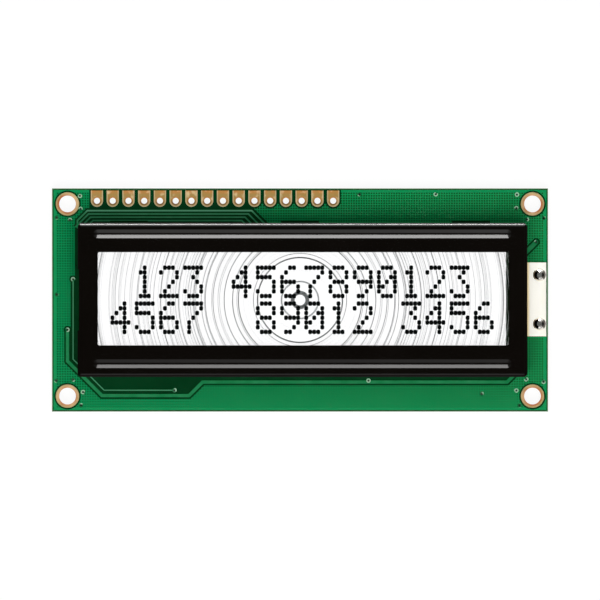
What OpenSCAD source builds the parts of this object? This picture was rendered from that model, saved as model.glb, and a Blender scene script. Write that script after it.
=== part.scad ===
// Two-line character display module: a dot-matrix liquid crystal cell in a folded steel bezel,
// with an edge-lit backlight behind it, on a green circuit board with a row of header pads.
// It lies display side up: long side along X, header along the +Y edge, lowest piece on Z = 0.

/* [Board] */
// Length of the circuit board
board_l = 80; // [78:0.5:90]
// Width of the circuit board
board_w = 36; // [34.5:0.5:44]
// Thickness of the bare board
board_t = 1.6; // [0.8:0.1:2.4]
// Thickness of a copper layer with the mask or plating on it
copper_t = 0.05; // [0.03:0.01:0.1]
// Bare strip between the copper fields and the board's edge
edge_bare = 0.25; // [0.1:0.05:0.6]
// Bare gap etched round a track or a pad
etch_gap = 0.28; // [0.15:0.01:0.4]

/* [Mounting holes] */
// Finished diameter of the four mounting holes
mount_hole_d = 2.7; // [2.2:0.1:3.2]
// Distance of a mounting hole from both edges of its corner
mount_inset = 2.5; // [2.3:0.1:2.8]
// Outer diameter of the plated ring round a mounting hole
mount_ring_d = 3.75; // [3.4:0.05:4.2]
// Thickness of the plating on a hole's wall
plating_t = 0.018; // [0.01:0.002:0.018]

/* [Header] */
// Number of header pads
pin_count = 16; // [14:1:16]
// Spacing of the header pads
pin_pitch = 2.54; // [2:0.01:2.54]
// Finished diameter of a header hole
pin_hole_d = 1.0; // [0.8:0.05:1.2]
// Width of a header pad
pin_pad_w = 1.95; // [1.6:0.05:2.1]
// Distance of the header holes from the board's long edge
pin_inset = 2.0; // [1.8:0.1:2.4]
// Distance of the first header hole from the board's left edge
pin_start = 7.25; // [7:0.05:9]
// Distance of a header pad's square end from the board's edge
pin_pad_back = 0.35; // [0.2:0.05:0.6]

/* [Bezel] */
// Distance of the folded steel bezel from the board's left edge
bezel_left = 4.2; // [3.9:0.1:5]
// Distance of the bezel from the board's right edge
bezel_right = 3.4; // [3.2:0.1:4]
// Distance of the bezel from both long edges of the board
bezel_inset = 5.6; // [5.4:0.1:6]
// Height of the bezel's face above the board's mask
bezel_h = 8.6; // [7.6:0.1:10]
// Thickness of the steel sheet
sheet_t = 0.5; // [0.3:0.05:0.6]
// Outer radius of the folds round the face
fold_r = 0.65; // [0.65:0.05:1.2]
// Outer radius of the bezel's upright corners
corner_r = 0.7; // [0.65:0.05:1.2]
// Width of the face to the left of the viewing window
window_left = 3.25; // [3:0.05:5]
// Width of the face to the right of the window
window_right = 3; // [3:0.05:5]
// Width of the face above the window
window_above = 4.7; // [4.2:0.05:5.5]
// Width of the face below the window
window_below = 5.1; // [4.6:0.05:5.9]
// Corner radius of the window
window_r = 0.25; // [0.1:0.05:1]
// Distance of the two pressed grooves that clamp the glass from the bezel's ends
bead_end = 2.55; // [2.2:0.05:6]
// Width of a groove at the face
bead_w = 1.4; // [1.2:0.05:1.7]
// Width of a groove's floor
bead_floor_w = 0.2; // [0.1:0.05:0.8]
// Depth of a groove
bead_depth = 0.4; // [0.3:0.05:0.7]
// Distance of the connector strip's middle under a groove from the bezel's long side
bead_inset = 1.95; // [1.8:0.05:2.2]
// Distance of the two grooves above the middles of their strips
bead_shift = 0.2; // [0:0.05:0.25]
// Length of the cut in the left side of the bezel
side_cut_l = 9.9; // [6:0.1:14]
// How far that cut bites into the fold, seen from above
side_cut_bite = 0.2; // [0.05:0.05:0.3]

/* [Bezel tabs] */
// Width of a fixing tab
tab_w = 5; // [3:0.1:6]
// Distance of the outer tabs' middles from the board's ends
tab_end = 12.4; // [11.5:0.1:20]
// Length of a tab's folded leg, from the bezel's outer side
tab_leg = 3.2; // [2:0.1:4]
// Inner radius of the fold at a tab's leg
tab_fold_r = 0.3; // [0.15:0.05:0.5]
// Clearance between a tab and its slot in the board
tab_clearance = 0.15; // [0.05:0.05:0.3]
// Bare margin round a tab's slot
slot_bare = 0.4; // [0.2:0.05:0.6]

/* [Display cell] */
// Thickness of each sheet of glass
glass_t = 1.1; // [0.7:0.1:1.3]
// Thickness of the liquid crystal layer and its seal
cell_gap = 0.05; // [0.03:0.01:0.1]
// Thickness of a polarizer
polarizer_t = 0.2; // [0.1:0.05:0.3]
// Overlap of the polarizers behind the window's edges
polarizer_margin = 1.0; // [0.5:0.1:1.4]
// Strip of plain glass that shows inside the window's right edge
polarizer_short = 0.45; // [0.1:0.05:0.8]
// Clearance between the front glass and the bezel's long sides
glass_side_gap = 0.3; // [0.1:0.05:0.35]
// Clearance between the glass and the bezel's ends
glass_end_gap = 0.5; // [0.4:0.05:0.9]
// Width of the seal between the two sheets of glass
seal_w = 0.9; // [0.5:0.1:1.4]
// Distance of the seal from the edge of the rear glass
seal_inset = 0.3; // [0.1:0.05:0.6]
// Width of the filling port in the left end of the seal
port_w = 3.2; // [2:0.1:5]
// Depth of the cured drop that plugs the port
plug_depth = 0.3; // [0.15:0.05:0.35]

/* [Connector strips] */
// Width of the elastic connector strips
strip_w = 2.0; // [1.6:0.1:2]
// Distance of the strips' ends from the bezel's ends
strip_end = 3.2; // [2.2:0.1:6]
// Clearance between a strip and what stands beside it
strip_gap = 0.25; // [0.1:0.05:0.4]
// Number of contact pads under each strip
contact_count = 48; // [30:1:52]
// Distance of the outer contact pads from the strip's ends
contact_end = 0.66; // [0.2:0.02:2]
// Width of a contact pad
contact_w = 0.75; // [0.4:0.05:0.9]

/* [Backlight] */
// Clearance between the backlight frame and the bezel's ends
frame_end_gap = 0.6; // [0.3:0.05:1.5]
// Wall thickness of the backlight frame
frame_wall = 1.0; // [0.7:0.1:1.5]
// Floor thickness of the backlight frame
frame_floor = 0.8; // [0.5:0.1:1.2]
// Thickness of the reflector sheet under the light guide
reflector_t = 0.2; // [0.1:0.05:0.3]
// Thickness of the diffuser film over the light guide
diffuser_t = 0.15; // [0.1:0.05:0.3]
// Clearance between the light guide and the frame
guide_gap = 0.1; // [0.05:0.05:0.3]
// Thickness of the lamp board
lamp_board_t = 1.0; // [0.6:0.1:1.2]
// Width of the lamp board and of its tab
lamp_board_w = 11.9; // [10:0.1:14]
// Offset of the lamp board above the board's middle
lamp_board_shift = 0.1; // [-0.5:0.1:0.5]
// Length of the lamp board inside the frame
lamp_board_in = 6.2; // [5:0.1:8]
// Distance of the lamp board's tab from the board's right edge
lamp_board_back = 0.3; // [0.1:0.05:1]
// Clearance round the lamp board where it leaves the bezel
lamp_board_gap = 0.25; // [0.1:0.05:0.5]
// Number of lamps
lamp_count = 3; // [1:1:4]
// Distance of the lamps from the inner end of their board
lamp_setback = 0.5; // [0.4:0.1:1]
// Size of a lamp along X
lamp_x = 1.2; // [0.8:0.1:1.6]
// Size of a lamp along Y
lamp_y = 2.6; // [1.6:0.1:3]
// Height of a lamp above its board
lamp_h = 1.6; // [1:0.1:2]
// Spacing of the lamps
lamp_pitch = 3.6; // [3.2:0.1:4]
// Diameter of the lens dome on a lamp's face
lens_d = 1.3; // [0.8:0.05:1.4]

/* [Backlight leads] */
// Diameter of the two lead wires
lead_d = 0.8; // [0.5:0.05:0.9]
// Diameter of the holes that the leads pass through
lead_hole_d = 1.0; // [0.95:0.05:1.2]
// Distance of each lead from the lamp board's centreline
lead_y = 3.95; // [3:0.05:4.2]
// Distance of the leads from the board's right edge
lead_inset = 1.4; // [1.3:0.05:1.6]
// Diameter of a solder joint on the tab
solder_d = 2.1; // [1.8:0.05:2.2]
// Height of a solder joint on the tab
solder_h = 0.75; // [0.4:0.05:1]
// Diameter of a solder joint on the back of the board
back_solder_d = 1.9; // [1.6:0.05:2.2]
// Height of a solder joint on the back of the board
back_solder_h = 0.9; // [0.5:0.05:1.2]
// Length of lead that stands out of a solder joint
lead_stub = 0.2; // [0.05:0.05:0.4]

/* [Chips] */
// Height of the two epoxy domes over the chips
dome_h = 1.8; // [1.6:0.1:2.4]
// Diameter of the epoxy dome over the controller
controller_d = 15; // [12:0.5:16]
// Diameter of the epoxy dome over the segment driver
driver_d = 13; // [11:0.5:15]
// Distance of the controller's dome to the left of the board's middle
controller_x = 14; // [11:0.5:18]
// Distance of the driver's dome to the right of the board's middle
driver_x = 13; // [10:0.5:18]
// Height that each dome would have if its top weren't level, as a share of its own height
dome_crown = 1.25; // [1.1:0.05:1.5]
// Number of chip resistors
resistor_count = 8; // [4:2:8]
// Spacing of the chip resistors, in two groups beside the middle tab
resistor_pitch = 4.0; // [3.6:0.1:4.2]
// Length, width and height of a chip resistor
resistor_size = [2.0, 1.25, 0.5];
// Length, width and height of a chip capacitor
capacitor_size = [2.0, 1.25, 0.8];
// Length of the metal cap at each end of a chip part
cap_l = 0.4; // [0.2:0.05:0.6]
// Thickness of that metal cap
cap_t = 0.05; // [0.03:0.01:0.1]
// Reach of the solder fillet beyond the end of a chip part
fillet_l = 0.4; // [0.2:0.05:0.6]
// Clearance between the controller's dome and the row of chip parts below it
row_gap = 0.9; // [0.5:0.1:1.5]

/* [Tracks and vias] */
// Width of the four fine tracks along the header
fine_w = 0.25; // [0.15:0.01:0.3]
// Spacing of those tracks
fine_pitch = 0.53; // [0.45:0.01:0.6]
// Distance of the nearest of those tracks from the bezel
fine_start = 0.42; // [0.35:0.01:0.6]
// Distances of the fine tracks' left bends from the bezel's left side, the nearest track first
fine_left = [2.4, 2, 1.7, 1.5];
// How far the outermost fine track runs outside the bezel's left side
fine_out = 0.1; // [0.05:0.05:0.15]
// Distance below the bezel's upper side at which it turns in under the bezel
fine_turn = 0.7; // [0.4:0.1:2]
// Distance of their right-hand bend from the bezel's left end
fine_right = 28; // [24:0.5:32]
// Width of the thin track along the left side
thin_w = 0.16; // [0.12:0.01:0.25]
// Distance of that track from the bezel's left end
thin_out = 0.8; // [0.6:0.05:1]
// Distance of its upper end above the board's middle
thin_top = 3.35; // [2:0.05:5]
// Distance of its lower run from the bezel's long side
thin_below = 2.15; // [1.8:0.05:2.2]
// Distance of its first bend inside the bezel's long side
thin_bend = 2.85; // [2:0.05:4]
// Distance of its lower end from the bezel's left end
thin_end = 15.55; // [10:0.05:20]
// Width of the supply track along the left side and the bottom
supply_w = 0.52; // [0.3:0.01:0.7]
// Distance of that track from the bezel's left end
supply_out = 1.7; // [1.6:0.05:2]
// Distance of its upper end below the board's middle
supply_top = 4.8; // [2:0.05:6]
// Distance of its outer lower run from the bezel's long side
supply_below = 3.02; // [2.9:0.01:3.2]
// Distance of its inner lower run from the bezel's long side
supply_near = 0.84; // [0.6:0.01:1]
// Distance of its first bend inside the bezel's long side
supply_bend = 2.55; // [2:0.05:4]
// Distance of its rise to the inner run from the bezel's left end
supply_rise = 17.9; // [16.5:0.1:22]
// Distance of its lower end from the bezel's right end
supply_end = 3.2; // [2:0.1:6]
// Width of the short track to the backlight
lamp_track_w = 0.7; // [0.4:0.05:0.9]
// Length of that track along X and along Y
lamp_track_run = 2.4; // [2:0.1:3]
// Distance of its via from the board's right edge
lamp_via_in = 1.9; // [1.6:0.05:2]
// Distance of its via inside the bezel's long side
lamp_via_down = 3.05; // [2.8:0.05:3.2]
// Outer diameter of a via
via_d = 0.7; // [0.6:0.05:0.9]
// Diameter of a via's hole
via_hole_d = 0.35; // [0.25:0.05:0.4]
// Depth of a via's resin plug below the board's faces
via_plug_in = 0.3; // [0.1:0.05:0.6]
// Vias round each mounting hole, as distances from the two edges of its corner
vias_upper_left = [[4.5, 1.2], [4.6, 3.3], [0.75, 4.7], [2.9, 5.1]];
vias_upper_right = [[5.0, 1.0], [5.1, 3.2], [3.4, 5.0], [0.7, 4.8]];
vias_lower_left = [[0.7, 5.0], [3.4, 5.15], [5.0, 3.15], [4.7, 1.0]];
vias_lower_right = [[3.5, 5.2], [0.7, 4.8], [5.1, 3.4], [4.6, 1.0]];
// Distance of the upper edge's two vias from the board's edge
edge_via_in = 0.95; // [0.7:0.05:1.2]
// Distance of the first of them from the last header hole
edge_via_near = 4.25; // [3:0.05:6]
// Distance of the second of them from the board's right edge
edge_via_far = 18.1; // [12:0.1:24]
// Distance of the supply track's via to the right of the board's middle
supply_via_x = 11.05; // [4:0.05:20]
// Distance of that via from the bezel's long side
supply_via_out = 0.6; // [0.5:0.05:0.9]
// Distances of the lower field's via from the board's right and lower edges
field_via = [10.7, 2.85];
// Distance of the left edge's via from that edge and above the board's middle
side_via = [0.75, 0.9];
// Width of the tracks on the back
back_track_w = 0.25; // [0.15:0.01:0.3]
// Spacing of the back's tracks where they reach a chip
back_track_pitch = 0.8; // [0.6:0.01:0.85]
// Distance of the bare quarter round the fan of tracks from the board's left edge
fan_inset = 3; // [2.8:0.1:3.5]
// Number of tracks between the two chips
link_count = 8; // [4:1:10]

/* [Hidden] */
$fn = 48;
eps = 0.01;
far = 200;

// Half sizes of the board
hx = board_l / 2;
hy = board_w / 2;

// The bezel's outline on the board, and its window
bezel_x0 = bezel_left - hx;
bezel_x1 = hx - bezel_right;
bezel_y = hy - bezel_inset;
bezel_l = bezel_x1 - bezel_x0;
bezel_w = 2 * bezel_y;
bezel_shift = (bezel_x0 + bezel_x1) / 2;
inner_l = bezel_l - 2 * sheet_t;
inner_w = bezel_w - 2 * sheet_t;
window_l = bezel_l - window_left - window_right;
window_w = bezel_w - window_above - window_below;
window_x = (bezel_x0 + window_left + bezel_x1 - window_right) / 2;
window_y = (window_below - window_above) / 2;
bead_l = bezel_l - 2 * bead_end;
bead_y = bezel_y - bead_inset;
tab_pitch = hx - tab_end;

// Levels, from the lowest face of the domes upwards
board_back = dome_h;
board_front = board_back + board_t;
seat = board_front + copper_t;
under_seat = board_back - copper_t;
face_top = seat + bezel_h;
face_under = face_top - sheet_t;
front_glass_top = face_under - bead_depth;
front_glass_under = front_glass_top - glass_t;
rear_glass_top = front_glass_under - cell_gap;
rear_glass_under = rear_glass_top - glass_t;
diffuser_top = rear_glass_under - polarizer_t;
frame_top = diffuser_top - diffuser_t;
guide_under = seat + frame_floor + reflector_t;
lamp_board_top = seat + lamp_board_t;

// The cell and the backlight, from the room that the bezel and the strips leave
glass_l = inner_l - 2 * glass_end_gap;
front_glass_w = inner_w - 2 * glass_side_gap;
between_strips = 2 * (bead_y - strip_w / 2 - strip_gap);
strip_h = front_glass_under - seat;
strip_l = bezel_l - 2 * strip_end;
contact_pitch = (strip_l - 2 * contact_end - contact_w) / (contact_count - 1);
frame_l = inner_l - 2 * frame_end_gap;
frame_x0 = bezel_shift - frame_l / 2;
frame_x1 = bezel_shift + frame_l / 2;
lamp_board_x0 = frame_x1 - lamp_board_in;
lamp_board_x1 = hx - lamp_board_back;
lamp_x0 = lamp_board_x0 + lamp_setback;
lens_h = lens_d / 4;
guide_x0 = frame_x0 + frame_wall + guide_gap;
guide_x1 = lamp_x0 - lens_h - guide_gap;
guide_w = between_strips - 2 * (frame_wall + guide_gap);
pocket_w = lamp_board_w + 2 * lamp_board_gap;
pocket_h = lamp_board_t + lamp_h + 2 * lamp_board_gap;
lead_x = hx - lead_inset;

// Rows of chip parts on the back: half the resistors and a capacitor on each side of the tab
chip_room = resistor_size[0] / 2 + fillet_l + etch_gap;
group = resistor_count / 2;
row_x0 = tab_w / 2 + slot_bare + chip_room;
row_l = group * resistor_pitch;
row_y = controller_d / 2 + row_gap + resistor_size[1] / 2;
resistors = [for (s = [-1, 1], i = [0 : group - 1]) [s * (row_x0 + i * resistor_pitch), -row_y]];
capacitors = [for (s = [-1, 1]) [s * (row_x0 + row_l), -row_y]];

// Left side of the bare quarter round the fan of tracks on the back
fan_left = fan_inset - hx;

// Header holes
pin_y = hy - pin_inset;
pins = [for (i = [0 : pin_count - 1]) [pin_start - hx + i * pin_pitch, pin_y]];
last_pin = pins[pin_count - 1];
// The pad below which the copper field begins again, counted from the right
field_pad = pins[pin_count - 5];
// Mounting holes
mounts = [for (x = [-1, 1], y = [-1, 1]) [x * (hx - mount_inset), y * (hy - mount_inset)]];
// Leads of the backlight
leads = [for (s = [-1, 1]) [lead_x, lamp_board_shift + s * lead_y]];
// Middles of the tab slots, by side
tabs = [for (i = [-1 : 1], s = [-1, 1]) [i * tab_pitch, s]];

// Runs of the tracks on the front
fine_count = 4;
under_bezel = sheet_t + 0.3;
thin_x = bezel_x0 - thin_out;
thin_turn = bezel_y - thin_bend;
thin_run = bezel_y + thin_below;
supply_x = bezel_x0 - supply_out;
supply_turn = bezel_y - supply_bend;
supply_outer = bezel_y + supply_below;
supply_inner = bezel_y + supply_near;
supply_x1 = bezel_x1 - supply_end;
lamp_via = [hx - lamp_via_in, bezel_y - lamp_via_down];

thin_path = [
    [thin_x, thin_top],
    [thin_x, -thin_turn],
    [thin_x + thin_run - thin_turn, -thin_run],
    [bezel_x0 + thin_end, -thin_run]
];
supply_path = [
    [supply_x, -supply_top],
    [supply_x, -supply_turn],
    [supply_x + supply_outer - supply_turn, -supply_outer],
    [bezel_x0 + supply_rise, -supply_outer],
    [bezel_x0 + supply_rise + supply_outer - supply_inner, -supply_inner],
    [supply_x1, -supply_inner],
    [supply_x1 + supply_near + under_bezel, -bezel_y + under_bezel]
];
lamp_path = [lamp_via, lamp_via - [lamp_track_run, lamp_track_run]];

vias = concat(
    [for (v = vias_upper_left) [v[0] - hx, hy - v[1]]],
    [for (v = vias_upper_right) [hx - v[0], hy - v[1]]],
    [for (v = vias_lower_left) [v[0] - hx, v[1] - hy]],
    [for (v = vias_lower_right) [hx - v[0], v[1] - hy]],
    [[last_pin[0] + edge_via_near, hy - edge_via_in], [hx - edge_via_far, hy - edge_via_in]],
    [[supply_via_x, -bezel_y - supply_via_out], [hx - field_via[0], field_via[1] - hy]],
    [[side_via[0] - hx, side_via[1]]],
    [lamp_via, thin_path[0], thin_path[3], supply_path[0]]
);

// ---- shapes that several pieces share ----

// Rectangle with round corners, centred
module round_rect(l, w, r) {
    union() {
        square([l - 2 * r, w], center = true);
        square([l, w - 2 * r], center = true);
        for (x = [-1, 1], y = [-1, 1])
            translate([x * (l / 2 - r), y * (w / 2 - r)]) circle(r);
    }
}

// Left-hand normal of stretch i of a path, held at the path's ends
function side_of(p, i) =
    let (k = min(max(i, 0), len(p) - 2), d = p[k + 1] - p[k])
    [-d[1], d[0]] / norm(d);

// Point i of a path, moved sideways so that straight stretches stay parallel
function moved(p, i, by) =
    let (m = side_of(p, i - 1) + side_of(p, i))
    p[i] + 2 * by * m / (m * m);

// A flat track of width w along a path
module track(p, w) {
    n = len(p) - 1;
    polygon(concat([for (i = [0 : n]) moved(p, i, w / 2)],
                   [for (i = [n : -1 : 0]) moved(p, i, -w / 2)]));
}

// Outline of a header pad: round below its hole, square towards the edge
module pad_outline(grow) {
    union() {
        circle(d = pin_pad_w + 2 * grow);
        translate([-pin_pad_w / 2 - grow, 0])
            square([pin_pad_w + 2 * grow, pin_inset - pin_pad_back + grow]);
    }
}

// Plated hole: a wall through the board with a flange on each side
module plated_ring(hole_d, ring_d) {
    difference() {
        union() {
            translate([0, 0, under_seat]) cylinder(d = ring_d, h = copper_t);
            translate([0, 0, board_front]) cylinder(d = ring_d, h = copper_t);
            translate([0, 0, board_back])
                cylinder(d = hole_d + 2 * plating_t, h = board_t);
        }
        translate([0, 0, under_seat - 1]) cylinder(d = hole_d, h = board_t + 2 * copper_t + 2);
    }
}

// Slot in the board for one tab, grown by a margin: the tab touches its outer wall
module slot_outline(grow) {
    translate([0, bezel_y - sheet_t / 2 - tab_clearance])
        square([tab_w + 2 * (tab_clearance + grow), sheet_t + 2 * (tab_clearance + grow)],
               center = true);
}

// Spherical cap over radius r with height h, with a bore of radius bore along its axis
module cap(r, h, bore = 0) {
    ball = (r * r + h * h) / (2 * h);
    rotate_extrude($fn = 96) intersection() {
        translate([0, h - ball]) circle(ball);
        translate([bore, 0]) square([r - bore, h]);
    }
}

// ---- circuit board ----

module circuit_board() {
    color("darkgreen")
    translate([0, 0, board_back])
    linear_extrude(board_t) difference() {
        square([board_l, board_w], center = true);
        for (m = mounts) translate(m) circle(d = mount_hole_d + 2 * plating_t);
        for (p = pins) translate(p) circle(d = pin_hole_d + 2 * plating_t);
        for (v = vias) translate(v) circle(d = via_hole_d + 2 * plating_t);
        for (l = leads) translate(l) circle(d = lead_hole_d + 2 * plating_t);
        for (t = tabs) translate([t[0], 0]) mirror([0, t[1] < 0 ? 1 : 0]) slot_outline(0);
    }
}

// What every copper layer leaves free
module copper_free(pad_gap) {
    for (m = mounts) translate(m) circle(d = mount_ring_d + 2 * etch_gap);
    for (p = pins) translate(p) pad_outline(pad_gap);
    for (v = vias) translate(v) circle(d = via_d);
    for (l = leads) translate(l) circle(d = back_solder_d + 2 * etch_gap);
    for (t = tabs)
        translate([t[0], 0]) mirror([0, t[1] < 0 ? 1 : 0]) slot_outline(slot_bare);
}

// The four fine tracks along the header, from under the bezel's corner: the outermost one first
// runs beside the bezel's left side
function fine_path(i) =
    let (y = bezel_y + fine_start + i * fine_pitch,
         x0 = bezel_x0 + fine_left[i],
         x1 = bezel_x0 + fine_right - fine_pitch * (fine_count - 1 - i),
         side = bezel_x0 - fine_out,
         turn = bezel_y - fine_turn,
         down = y - bezel_y + under_bezel - 0.15)
    concat(
        i < fine_count - 1 ? [[x0 - down, y - down]]
            : [[side + under_bezel, turn - under_bezel], [side, turn], [side, y - x0 + side]],
        [[x0, y], [x1, y], [x1 + down, y - down]]
    );

// Bare field round the header and the fine tracks
module header_bare() {
    left = pins[0][0] - pin_pad_w / 2 - etch_gap;
    right = last_pin[0] + pin_pad_w / 2 + etch_gap;
    outermost = fine_path(fine_count - 1);
    side = moved(outermost, 2, fine_w / 2 + etch_gap);
    corner = moved(outermost, 3, fine_w / 2 + etch_gap);
    top = corner[1];
    low = bezel_y - under_bezel;
    edge = outermost[4][0] + etch_gap;
    polygon([
        [left, far], [left, top], corner, side, [side[0], thin_top],
        [bezel_x0 + under_bezel, thin_top],
        [bezel_x0 + under_bezel, low], [edge + top - low, low], [edge, top],
        [field_pad[0] - pin_pitch / 2, pin_y - pin_pad_w / 4],
        [right, pin_y - pin_pad_w / 4], [right, far]
    ]);
}

// Bare field between the bezel and the supply track
module lower_bare() {
    inside = bezel_x0 + under_bezel;
    polygon(concat(
        [[inside, thin_top], [thin_x, thin_top], [thin_x, -supply_top]],
        supply_path,
        [[inside, -bezel_y + under_bezel]]
    ));
}

// The front's copper fields, bare round every track
module front_fields() {
    color("seagreen")
    translate([0, 0, board_front])
    linear_extrude(copper_t) difference() {
        square([board_l - 2 * edge_bare, board_w - 2 * edge_bare], center = true);
        translate([bezel_shift, 0])
            square([bezel_l - 2 * under_bezel, bezel_w - 2 * under_bezel], center = true);
        header_bare();
        lower_bare();
        for (i = [0 : fine_count - 1]) track(fine_path(i), fine_w + 2 * etch_gap);
        track(thin_path, thin_w + 2 * etch_gap);
        track(supply_path, supply_w + 2 * etch_gap);
        track(lamp_path, lamp_track_w + 2 * etch_gap);
        for (v = [lamp_via, supply_path[0], thin_path[0]])
            translate(v) circle(d = via_d + 2 * etch_gap);
        copper_free(etch_gap);
    }
}

module front_tracks() {
    color("mediumseagreen")
    translate([0, 0, board_front])
    linear_extrude(copper_t) difference() {
        union() {
            for (i = [0 : fine_count - 1]) track(fine_path(i), fine_w);
            track(thin_path, thin_w);
            track(supply_path, supply_w);
            track(lamp_path, lamp_track_w);
        }
        copper_free(etch_gap);
    }
}

// A track on the back, from a header pad to the controller
function fan_path(i) =
    let (x = -controller_x + (i - (pin_count - 1) / 2) * back_track_pitch,
         reach = sqrt(controller_d * controller_d / 4 - pow(x + controller_x, 2)))
    [
        [pins[i][0], pin_y - pin_pad_w / 2 - eps],
        [pins[i][0], bezel_y + 0.6],
        [x, reach + 1.6],
        [x, reach + etch_gap]
    ];

// What the back's copper leaves free round the two chips and every plated hole
module back_free() {
    translate([-controller_x, 0]) circle(d = controller_d);
    translate([driver_x, 0]) circle(d = driver_d);
    copper_free(eps);
}

module back_fields() {
    color("seagreen")
    translate([0, 0, under_seat])
    linear_extrude(copper_t) difference() {
        square([board_l - 2 * edge_bare, board_w - 2 * edge_bare], center = true);
        // the upper left quarter carries the fan of tracks
        translate([fan_left, -controller_d * 0.4])
            square([last_pin[0] + pin_pad_w - fan_left, far]);
        translate([-controller_x, -link_count / 2])
            square([controller_x + driver_x, link_count]);
        for (s = [0, 1]) mirror([s, 0])
            translate([row_x0 - chip_room, -row_y - resistor_size[1] / 2 - etch_gap])
                square([row_l + 2 * chip_room, resistor_size[1] + 2 * etch_gap]);
        translate([driver_x, 0]) circle(d = driver_d + 2 * etch_gap);
        back_free();
    }
}

module back_tracks() {
    color("mediumseagreen")
    translate([0, 0, under_seat])
    linear_extrude(copper_t) difference() {
        union() {
            for (i = [0 : pin_count - 1]) track(fan_path(i), back_track_w);
            for (i = [0 : link_count - 1])
                translate([-controller_x, (i - (link_count - 1) / 2) * back_track_pitch
                                          - back_track_w / 2])
                    square([controller_x + driver_x, back_track_w]);
        }
        back_free();
    }
}

module header_pads() {
    color("goldenrod")
    for (p = pins) translate([p[0], p[1], 0]) difference() {
        union() {
            for (z = [under_seat, board_front])
                translate([0, 0, z]) linear_extrude(copper_t) pad_outline(0);
            translate([0, 0, board_back])
                cylinder(d = pin_hole_d + 2 * plating_t, h = board_t);
        }
        translate([0, 0, under_seat - 1])
            cylinder(d = pin_hole_d, h = board_t + 2 * copper_t + 2);
    }
}

module mounting_rings() {
    color("peru")
    for (m = mounts) translate([m[0], m[1], 0]) plated_ring(mount_hole_d, mount_ring_d);
}

module vias() {
    color("seagreen")
    for (v = vias) translate([v[0], v[1], 0]) plated_ring(via_hole_d, via_d);
}

module via_plugs() {
    color("darkgreen")
    for (v = vias) translate([v[0], v[1], board_back + via_plug_in])
        cylinder(d = via_hole_d, h = board_t - 2 * via_plug_in);
}

module contact_pads() {
    color("gold")
    for (s = [-1, 1], i = [0 : contact_count - 1])
        translate([bezel_shift + (i - (contact_count - 1) / 2) * contact_pitch - contact_w / 2,
                   s * bead_y - strip_w / 2, board_front])
            cube([contact_w, strip_w, copper_t]);
}

// ---- bezel ----

// A block whose upright corners and upper edges are round, open below
module folded_block(l, w, h, plan_r, edge_r) {
    intersection() {
        linear_extrude(h) round_rect(l, w, plan_r);
        rotate([90, 0, 0]) linear_extrude(w + 2, center = true)
            arch(l, h, edge_r);
        rotate([90, 0, 90]) linear_extrude(l + 2, center = true)
            arch(w, h, edge_r);
    }
}

// Upright rectangle with its two upper corners round
module arch(l, h, r) {
    union() {
        translate([-l / 2, 0]) square([l, h - r]);
        translate([-l / 2 + r, 0]) square([l - 2 * r, h]);
        for (s = [-1, 1]) translate([s * (l / 2 - r), h - r]) circle(r);
    }
}

// A groove or the rib under it: sloped sides, round ends, widest at its upper face
module bead(grow) {
    top_r = bead_w / 2 + grow;
    floor_r = bead_floor_w / 2 + grow;
    run = bead_l / 2 - bead_w / 2;
    union() {
        for (s = [-1, 1])
            translate([s * run, 0, -bead_depth])
                cylinder(r1 = floor_r, r2 = top_r, h = bead_depth);
        rotate([90, 0, 90]) linear_extrude(2 * run, center = true)
            polygon([[-floor_r, -bead_depth], [floor_r, -bead_depth], [top_r, 0], [-top_r, 0]]);
    }
}

// A tab down through the board, folded inwards against its back
module bezel_tab() {
    outer_r = tab_fold_r + sheet_t;
    fold_z = under_seat - tab_fold_r;
    inside = bezel_y - sheet_t;
    translate([0, inside - tab_fold_r, 0]) union() {
        translate([-tab_w / 2, tab_fold_r, fold_z])
            cube([tab_w, sheet_t, seat - fold_z + sheet_t]);
        intersection() {
            translate([0, 0, fold_z]) rotate([0, 90, 0])
                difference() {
                    cylinder(r = outer_r, h = tab_w, center = true);
                    cylinder(r = tab_fold_r, h = tab_w + 1, center = true);
                }
            translate([-tab_w, 0, fold_z - outer_r]) cube([2 * tab_w, outer_r, outer_r]);
        }
        translate([-tab_w / 2, outer_r - tab_leg, fold_z - outer_r])
            cube([tab_w, tab_leg - outer_r, sheet_t]);
    }
}

module bezel() {
    inner_r = max(corner_r - sheet_t, 0.1);
    inner_fold = max(fold_r - sheet_t, 0.1);
    color([0.07, 0.06, 0.06])
    union() {
        translate([bezel_shift, 0, 0]) difference() {
            union() {
                difference() {
                    translate([0, 0, seat])
                        folded_block(bezel_l, bezel_w, bezel_h, corner_r, fold_r);
                    translate([0, 0, seat - 1])
                        folded_block(inner_l, inner_w, bezel_h - sheet_t + 1, inner_r, inner_fold);
                }
                for (s = [-1, 1]) translate([0, s * bead_y + bead_shift, face_under + eps]) bead(0.12);
            }
            translate([window_x - bezel_shift, window_y, face_under - 2])
                linear_extrude(sheet_t + 4) round_rect(window_l, window_w, window_r);
            for (s = [-1, 1]) translate([0, s * bead_y + bead_shift, face_top + eps]) bead(eps);
            // the left side is cut away below the fold, and a little of the fold with it
            translate([-bezel_l / 2 - 1, -side_cut_l / 2, seat - 1])
                cube([1 + sheet_t + eps, side_cut_l, bezel_h - fold_r + 1]);
            translate([-bezel_l / 2 - 1, -side_cut_l / 2, seat - 1])
                cube([1 + side_cut_bite, side_cut_l, bezel_h + 2]);
            // the right side is open for the lamp board
            translate([bezel_l / 2 - sheet_t - 1, lamp_board_shift - pocket_w / 2, seat - 1])
                cube([sheet_t + 2, pocket_w, lamp_board_t + lamp_board_gap + 1]);
        }
        for (t = tabs)
            translate([t[0], 0, 0]) mirror([0, t[1] < 0 ? 1 : 0, 0]) bezel_tab();
    }
}

// ---- display cell ----

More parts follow.
